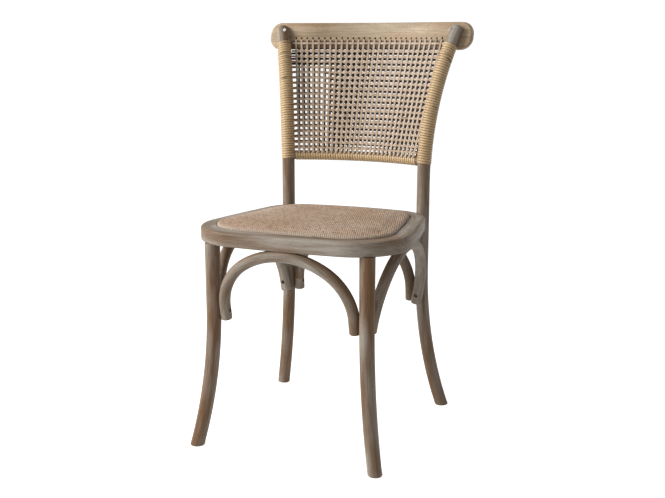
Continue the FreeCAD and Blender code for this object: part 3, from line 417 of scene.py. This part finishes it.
def crest_grain(tree):
    """Along the board: the bow is taken off by a curve, and the lean by a slope."""
    x, y, z = xyz(tree)
    bow = tree.nodes.new("ShaderNodeFloatCurve")
    line = bow.mapping.curves[0]
    line.points[0].location = (0.0, crest_face_y(0.0) * 2)
    line.points[1].location = (1.0, crest_face_y(0.25) * 2)
    for step in range(1, 10):
        line.points.new(step / 10, crest_face_y(step * 0.025) * 2)
    bow.mapping.update()
    tree.links.new(calc(tree, "MULTIPLY", calc(tree, "ABSOLUTE", x), 4.0), bow.inputs[1])
    face = calc(tree, "MULTIPLY", bow.outputs[0], 0.5)
    depth = calc(tree, "SUBTRACT", y, face)
    depth = calc(tree, "MULTIPLY_ADD", z, -CREST_LEAN, depth)
    return joined(tree, x, z, depth)


def painted_shade_under_cane(tree):
    """Painted shade on the crest below the row of holes, across the width of the cane, where the
    strands shade it.
    """
    x, y, z = xyz(tree)
    low = calc(tree, "MULTIPLY", spread(tree, z, 0.8455, 0.840), 0.8)
    return calc(tree, "MULTIPLY", low, spread(tree, calc(tree, "ABSOLUTE", x), 0.193, 0.186))


# The crest is painted darker below the holes, as shade under the cane.
dress("crest_rail", wooden("crest rail oak", crest_grain, 21.4, 0.5, PALE_TONES, painted_shade_under_cane))


# Lower back rail: a thin bowed bar tenoned into both posts, hidden by its winding except
# beside the posts.

def rail_grain(tree):
    x, y, z = xyz(tree)
    bow = calc(tree, "DIVIDE", calc(tree, "MULTIPLY", x, x), 0.72)
    return joined(tree, x, calc(tree, "ADD", y, bow), z)


dress("lower_back_rail", wooden("lower back rail oak", rail_grain, 25.8, 0.6))


# Post windings: one long strip of flat cane wound tightly round each post from the rail
# up over the foot of the crest. Honey coloured and a little glossy, dark between the turns,
# where the strip edges are painted darker, partly dirt and partly painted shade.

split_cane, given, made = new_group(
    "split cane",
    [("Run", "Vector"), ("Tone", "Float"), ("Light", "Color"), ("Deep", "Color"),
     ("Stain and shade", "Color"), ("Stain share", "Float"), ("Half width", "Float"),
     ("Hidden", "Float")],
    [("Color", "Color"), ("Roughness", "Float"), ("Height", "Float")])
run = given.outputs["Run"]
fibre = cloudy(split_cane, run, (30, 1500, 1500), 3.0, 0.6)
blotch = cloudy(split_cane, run, (11, 60, 60), 3.0, 0.6)
knot = spread(split_cane, cloudy(split_cane, run, (16, 90, 90), 1.0), 0.66, 0.74)
age = calc(split_cane, "ADD", given.outputs["Tone"],
           calc(split_cane, "MULTIPLY_ADD", blotch, 0.9, -0.45))
tone = mixed(split_cane, age, given.outputs["Light"], given.outputs["Deep"])
tone = mixed(split_cane, calc(split_cane, "MULTIPLY", spread(split_cane, fibre, 0.45, 0.7), 0.3),
             tone, given.outputs["Deep"])
tone = mixed(split_cane, calc(split_cane, "MULTIPLY", knot, given.outputs["Stain share"]), tone,
             given.outputs["Stain and shade"])
# Strip edges painted darker towards the dark colour: partly dirt in the grooves, partly painted shade
# between neighbouring turns and strands.
off = split_cane.nodes.new("ShaderNodeSeparateXYZ")
split_cane.links.new(run, off.inputs[0])
side_share = calc(split_cane, "DIVIDE", calc(split_cane, "ABSOLUTE", off.outputs[1]),
                  given.outputs["Half width"])
rim = calc(split_cane, "MULTIPLY", spread(split_cane, side_share, 0.72, 1.0), 0.5)
# Inner faces painted dark too: the cane's darker inner side and painted shade.
rim = calc(split_cane, "MAXIMUM", rim, given.outputs["Hidden"])
tone = mixed(split_cane, rim, tone, given.outputs["Stain and shade"])
split_cane.links.new(tone, made.inputs["Color"])
split_cane.links.new(spread(split_cane, fibre, 0.3, 0.7, 0.42, 0.6), made.inputs["Roughness"])
split_cane.links.new(fibre, made.inputs["Height"])


def cane_skin(name, light, deep, stain_and_shade, stain_share, coat=0.15, half_width=0.0024):
    """Material of cane strips: fibres along the strip, each strip with its own tone."""
    material = bpy.data.materials.new(name)
    material.use_nodes = True
    tree = material.node_tree
    shader = tree.nodes["Principled BSDF"]
    run = put(tree, "ShaderNodeUVMap", uv_map="strip")
    tone = put(tree, "ShaderNodeAttribute", output="Fac", attribute_name="tone")
    skin = tree.nodes.new("ShaderNodeGroup")
    skin.node_tree = split_cane
    lifted = put(tree, "ShaderNodeVectorMath", (run, joined(tree, 0.0, 0.0, tone)))
    tree.links.new(lifted, skin.inputs["Run"])
    tree.links.new(tone, skin.inputs["Tone"])
    # The inner faces are painted dark: partly the cane's own inner side, partly painted shade.
    hidden = put(tree, "ShaderNodeAttribute", output="Fac", attribute_name="inner")
    tree.links.new(hidden, skin.inputs["Hidden"])
    for socket, value in (("Light", light), ("Deep", deep), ("Stain and shade", stain_and_shade),
                          ("Stain share", stain_share), ("Half width", half_width)):
        skin.inputs[socket].default_value = value
    tree.links.new(skin.outputs["Color"], shader.inputs["Base Color"])
    tree.links.new(skin.outputs["Roughness"], shader.inputs["Roughness"])
    bump = put(tree, "ShaderNodeBump", {"Strength": 0.35, "Distance": 0.0003,
                                        "Height": skin.outputs["Height"]})
    tree.links.new(bump, shader.inputs["Normal"])
    shader.inputs["Coat Weight"].default_value = coat
    shader.inputs["Specular IOR Level"].default_value = 0.25
    shader.inputs["Coat Roughness"].default_value = 0.35
    return material


def lay_strip(mesh, places, width, thick, crown, tone, columns=4):
    """Adds a strip of cane to a mesh. places gives its centre, way across and way out.
    Its skin is the outer face, the thickness goes inwards, and the inner face is painted dark: the
    cane's darker inner side, deepened as painted shade."""
    steps = len(places) - 1
    first = len(mesh.verts)
    fresh = bmesh.ops.create_grid(mesh, x_segments=steps, y_segments=columns, size=0.5)["verts"]
    run = [0.0]
    for before, after in zip(places, places[1:]):
        run.append(run[-1] + (after[0] - before[0]).length)
    spots = {}
    for vert in fresh:
        step = round((vert.co.x + 0.5) * steps)
        share = vert.co.y * 2
        centre, across, out = places[step]
        vert.co = centre + across * (share * width / 2) + out * (crown * (1 - share ** 2))
        spots[vert] = (run[step], share * width / 2)
    faces = list(dict.fromkeys(face for vert in fresh for face in vert.link_faces))
    layer = mesh.loops.layers.uv["strip"]
    for face in faces:
        for loop in face.loops:
            loop[layer].uv = spots[loop.vert]
    middle, _, way_out = places[steps // 2]
    facing = min(faces, key=lambda face: (face.calc_center_median() - middle).length)
    mesh.normal_update()
    if facing.normal.dot(way_out) < 0:
        bmesh.ops.reverse_faces(mesh, faces=faces)
        mesh.normal_update()
    bmesh.ops.solidify(mesh, geom=faces, thickness=thick)
    mesh.verts.ensure_lookup_table()
    outer = set(fresh)
    for vert in mesh.verts[first:]:
        vert[mesh.verts.layers.float["tone"]] = tone
        # Inner faces get 0.9 of the dark colour: the cane's own inner side, and painted shade.
        vert[mesh.verts.layers.float["inner"]] = 0.0 if vert in outer else 0.9


def strip_mesh():
    mesh = bmesh.new()
    mesh.loops.layers.uv.new("strip")
    mesh.verts.layers.float.new("tone")
    mesh.verts.layers.float.new("inner")
    return mesh


def cane_piece(mesh, name, material, node):
    """Finished cane piece in place of its node."""
    bmesh.ops.recalc_face_normals(mesh, faces=mesh.faces[:])
    for edge in mesh.edges:
        edge.smooth = edge.calc_face_angle(0.0) < 0.8
    finished = bpy.data.meshes.new(name)
    mesh.to_mesh(finished)
    mesh.free()
    for polygon in finished.polygons:
        polygon.use_smooth = True
    finished.materials.append(material)
    piece = bpy.data.objects.new(name, finished)
    bpy.context.scene.collection.objects.link(piece)
    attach(piece, "root")
    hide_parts(node)
    return piece


POST_BEND_Z = 0.535
POST_BEND_RADIUS = 0.662
POST_SPLAY = math.radians(31.8)


def post_line(side, height):
    """Centre of a back post over the seat, and the way up it."""
    swing = math.asin((height - POST_BEND_Z) / POST_BEND_RADIUS)
    lean_to = Vector((side * math.sin(POST_SPLAY), math.cos(POST_SPLAY), 0))
    start = Vector((side * 0.1665, 0.1715 + SHIFT_Y, height))
    centre = start + lean_to * (POST_BEND_RADIUS * (1 - math.cos(swing)))
    return centre, (lean_to * math.sin(swing) + Vector((0, 0, math.cos(swing)))).normalized()


WRAP_FOOT_Z = 0.5735
WRAP_HEAD_Z = 0.8345
WRAP_RADIUS = 0.01565
TURN_PITCH = 0.0055
TURN_STEPS = 20
honey_cane = cane_skin("honey cane of the windings", srgb(238, 212, 168), srgb(184, 142, 90),
                       srgb(70, 44, 22), 0.8, 0.4, 0.0024)

for name, side in SIDES.items():
    winding = strip_mesh()
    places = []
    angle = 0.0
    height = WRAP_FOOT_Z
    while height < WRAP_HEAD_Z:
        centre, way = post_line(side, height)
        level = way.cross(Vector((0, 1, 0))).normalized()
        forth = level.cross(way)
        out = level * math.cos(angle) + forth * math.sin(angle) * side
        spot = centre + out * WRAP_RADIUS
        back = crest_face_y(spot.x) + CREST_LEAN * (spot.z - CREST_MIDDLE_Z) - 0.0015
        if spot.z > 0.819 and spot.y > back:
            spot.y = back
        places.append((spot, way * -side, out))
        angle += 2 * math.pi / TURN_STEPS
        height += way.z * TURN_PITCH / TURN_STEPS
    lay_strip(winding, places, 0.0048, 0.0009, 0.0007, 0.45)
    cane_piece(winding, "post_winding_" + name, honey_cane, "post_wrap_" + name)


# Rail winding: the same flat cane wound along the lower rail, where the strands of the
# back end under its turns.

RAIL_Z = 0.579
RAIL_BOW = 0.36
RAIL_TURN = math.asin(post_line(1, RAIL_Z)[0].x / RAIL_BOW)
RAIL_MIDDLE_Y = post_line(1, RAIL_Z)[0].y + RAIL_BOW * (1 - math.cos(RAIL_TURN))


def rail_line(angle):
    """Centre of the rail, by the angle from its middle."""
    return Vector((RAIL_BOW * math.sin(angle),
                   RAIL_MIDDLE_Y - RAIL_BOW * (1 - math.cos(angle)), RAIL_Z))


winding = strip_mesh()
places = []
reach = RAIL_TURN - 0.0185 / RAIL_BOW
turns = round(2 * reach * RAIL_BOW / 0.0061)
for step in range(turns * TURN_STEPS + 1):
    share = step / (turns * TURN_STEPS)
    here = reach * (2 * share - 1)
    way = Vector((math.cos(here), -math.sin(here), 0))
    forth = way.cross(Vector((0, 0, 1)))
    angle = 2 * math.pi * step / TURN_STEPS
    out = Vector((0, 0, 1)) * math.cos(angle) + forth * math.sin(angle)
    places.append((rail_line(here) + out * 0.01095, way, out))
lay_strip(winding, places, 0.0054, 0.0008, 0.0006, 0.4)
cane_piece(winding, "rail_winding", honey_cane, "rail_wrap")


# Cane back: two layers of flat strands, hung from the crest's holes and tucked under the
# rail's winding, with rows woven over and under them from post to post.

STRANDS = 28
HOLE_Z = 0.848
HALF_SPAN_TOP = 0.180
HALF_SPAN_FOOT = 0.144
RAIL_WRAP_RADIUS = 0.01141


def back_point(layer, share, stand, height):
    """Point of a cane layer, -1 in front and 1 behind, stand out from the crest and rail."""
    face = 0 if layer < 0 else CREST_THICK
    top = crest_point(HALF_SPAN_TOP * share, face + layer * stand, HOLE_Z)
    angle = math.asin(HALF_SPAN_FOOT * share / RAIL_BOW)
    out = Vector((math.sin(angle), math.cos(angle), 0)) * layer
    foot = rail_line(angle) + out * (RAIL_WRAP_RADIUS + stand)
    climb = (height - RAIL_Z) / (HOLE_Z - RAIL_Z)
    spot = foot.lerp(top, climb)
    spot.z = height
    return spot


def back_frame(layer, share, height):
    """Ways up, across and out of a cane layer at one place."""
    step = 0.01
    above, below = (back_point(layer, share, 0, height + move) for move in (step, -step))
    right, left = (back_point(layer, share + move, 0, height) for move in (step, -step))
    up = (above - below).normalized()
    across = (right - left).normalized()
    out = across.cross(up).normalized() * -layer
    return up, across, out


def post_touch(layer, side, height):
    """Where a row meets the winding of a post."""
    centre, way = post_line(side, height)
    last = back_point(layer, side, 0.0013, height)
    radius = 0.0161 / way.z + 0.0004
    sine = max(-0.85, min(0.85, (last.y - centre.y) / radius))
    return centre + Vector((-side * math.sqrt(1 - sine ** 2), sine, 0)) * radius


def eased(value, low, high):
    share = max(0.0, min(1.0, (value - low) / (high - low)))
    return share * share * (3 - 2 * share)


def droop(layer, share, height):
    """How far the rear layer's rows lie below the front ones: hardly at all at the left."""
    if layer < 0 or height > 0.83:
        return 0.0
    far = (0.0060 + 0.0105 * (0.84 - height)) * eased(height, 0.585, 0.625)
    return far * max(eased(share, -0.72, -0.42), eased(height, 0.775, 0.8))


STRAND_WIDTH = 0.0048
STRAND_THICK = 0.0010
STRAND_CROWN = 0.0002
STRAND_FOOT_Z = 0.5860
TUCK_Z = 0.5825
STRAND_STAND = 0.0021
WEAVE_SWING = 0.00105
ROWS = [0.8363] + [0.8186 - 0.0123 * number for number in range(19)]
pale_cane = cane_skin("pale cane of the back", srgb(212, 190, 166), srgb(176, 148, 120),
                      srgb(44, 28, 17), 0.45, 0.05)
# The rear layer is the front cane painted darker as shade, with a near-black inner colour for the
# shade seen through the openings.
rear_cane_painted_shade = cane_skin("rear layer cane of the back, painted darker as shade", srgb(196, 170, 140), srgb(158, 124, 90),
                      srgb(30, 19, 11), 0.5, 0.0)
chance = random.Random(7)

for name, layer, skin in (("front", -1, pale_cane), ("back", 1, rear_cane_painted_shade)):
    top, rise, sink = (0.8440, 0.0016, -0.0020) if layer < 0 else (0.8480, 0.0026, 0.0007)
    row_width = STRAND_WIDTH if layer < 0 else STRAND_WIDTH + 0.0008
    strands = strip_mesh()
    for number in range(STRANDS):
        share = 2 * number / (STRANDS - 1) - 1
        places = []
        for step in range(25):
            height = STRAND_FOOT_Z + (top - STRAND_FOOT_Z) * step / 24
            up, across, out = back_frame(layer, share, height)
            places.append((back_point(layer, share, STRAND_STAND, height), across * -layer, out))
        tuck = back_point(layer, share, -0.0012, TUCK_Z)
        dive = back_point(layer, share, sink, top + rise)
        places = [(tuck, *places[0][1:])] + places + [(dive, *places[-1][1:])]
        lay_strip(strands, places, STRAND_WIDTH, STRAND_THICK, STRAND_CROWN,
                  chance.uniform(0.1, 0.7))
    cane_piece(strands, name + "_strands", skin, name + "_cane_uprights")

    rows = strip_mesh()
    for row, level in enumerate(ROWS):
        on_crest = row == 0
        places = []
        steps = (STRANDS - 1) * 4
        for step in range(-2, steps + 3):
            share = 2 * step / steps - 1
            height = level - droop(layer, share, level)
            up, across, out = back_frame(layer, share, height)
            swing = WEAVE_SWING * math.cos(math.pi * (step / 4 + row))
            if on_crest:
                depth = (0 if layer < 0 else CREST_THICK) + layer * (STRAND_STAND + swing)
                spot = crest_point(HALF_SPAN_TOP * share, depth, height)
            else:
                spot = back_point(layer, share, STRAND_STAND + swing, height)
            places.append((spot, up, out))
        if not on_crest:
            start = post_touch(layer, -1, level - droop(layer, -1, level))
            end = post_touch(layer, 1, level - droop(layer, 1, level))
            places = [(start, *places[0][1:])] + places + [(end, *places[-1][1:])]
        if layer > 0:
            places.reverse()
        lay_strip(rows, places, row_width, STRAND_THICK, STRAND_CROWN,
                  chance.uniform(0.1, 0.7))
    cane_piece(rows, name + "_rows", skin, name + "_cane_rows")


# Screws, bolts and nuts: plain steel, dulled and darkened with age. The screws at the
# arches' ends sit deep in their counterbores.

def aged_steel(name, light, dark):
    material = bpy.data.materials.new(name)
    material.use_nodes = True
    tree = material.node_tree
    shader = tree.nodes["Principled BSDF"]
    place = put(tree, "ShaderNodeTexCoord", output="Object")
    dull = spread(tree, cloudy(tree, place, (900, 900, 900), 3.0), 0.4, 0.65)
    tree.links.new(mixed(tree, dull, light, dark), shader.inputs["Base Color"])
    tree.links.new(spread(tree, dull, 0, 1, 0.38, 0.7), shader.inputs["Roughness"])
    shader.inputs["Metallic"].default_value = 0.9
    return material


dark_steel = aged_steel("darkened screw steel", srgb(120, 114, 108), srgb(58, 52, 48))
bright_steel = aged_steel("dull screw steel", srgb(176, 172, 166), srgb(110, 104, 98))
for node in ("arch_end_screws", "arch_crown_screws", "seat_board_screws"):
    dress(node, dark_steel)
for node in ("crest_screws", "seat_bolts", "seat_bolt_nuts"):
    dress(node, bright_steel)


# Camera where the photograph was taken from, and a pale studio with one broad lamp to
# the front left. The floor keeps the chair's soft shadow.

lens = bpy.data.cameras.new("camera")
lens.sensor_width = 36.0
lens.lens = 36.0 * 997.1 / 665
camera = bpy.data.objects.new("camera", lens)
camera.location = (0.840, -1.98624, 0.844)
camera.rotation_euler = (math.radians(90 - 11.84), 0, math.radians(22.89))
bpy.context.scene.collection.objects.link(camera)
bpy.context.scene.camera = camera

floor_shape = bmesh.new()
bmesh.ops.create_grid(floor_shape, x_segments=1, y_segments=1, size=30)
floor_mesh = bpy.data.meshes.new("floor")
floor_shape.to_mesh(floor_mesh)
floor_shape.free()
floor = bpy.data.objects.new("floor", floor_mesh)
bpy.context.scene.collection.objects.link(floor)
paper = bpy.data.materials.new("white paper floor")
paper.use_nodes = True
tree = paper.node_tree
shader = tree.nodes["Principled BSDF"]
shader.inputs["Base Color"].default_value = (0.86, 0.86, 0.86, 1)
shader.inputs["Roughness"].default_value = 0.9
shader.inputs["Specular IOR Level"].default_value = 0.0
seen = tree.nodes.new("ShaderNodeLightPath")
rays = calc(tree, "MAXIMUM", seen.outputs["Is Camera Ray"],
            calc(tree, "MAXIMUM", seen.outputs["Is Glossy Ray"], seen.outputs["Is Transmission Ray"]))
glow = put(tree, "ShaderNodeEmission", {"Color": (1, 1, 1, 1),
                                        "Strength": calc(tree, "MULTIPLY", rays, 0.84)})
both = put(tree, "ShaderNodeAddShader", (shader.outputs[0], glow))
tree.links.new(both, tree.nodes["Material Output"].inputs["Surface"])
floor_mesh.materials.append(paper)

lamp = bpy.data.lights.new("front left lamp", "AREA")
lamp.shape = "SQUARE"
lamp.size = 1.6
lamp.energy = 125
lamp_holder = bpy.data.objects.new("front left lamp", lamp)
lamp_holder.location = (-2.6, -1.7, 2.1)
aim = Vector((0, 0, 0.45)) - lamp_holder.location
lamp_holder.rotation_euler = aim.to_track_quat("-Z", "Y").to_euler()
bpy.context.scene.collection.objects.link(lamp_holder)

world = bpy.data.worlds.new("studio")
bpy.context.scene.world = world
world.use_nodes = True
tree = world.node_tree
back = tree.nodes["Background"]
seen = tree.nodes.new("ShaderNodeLightPath")
rays = calc(tree, "MAXIMUM", seen.outputs["Is Camera Ray"],
            calc(tree, "MAXIMUM", seen.outputs["Is Glossy Ray"], seen.outputs["Is Transmission Ray"]))
tree.links.new(spread(tree, rays, 0, 1, 0.24, 1.05), back.inputs["Strength"])
back.inputs["Color"].default_value = (1, 1, 1, 1)
bpy.context.scene.view_settings.view_transform = "Standard"

bpy.context.view_layer.update()
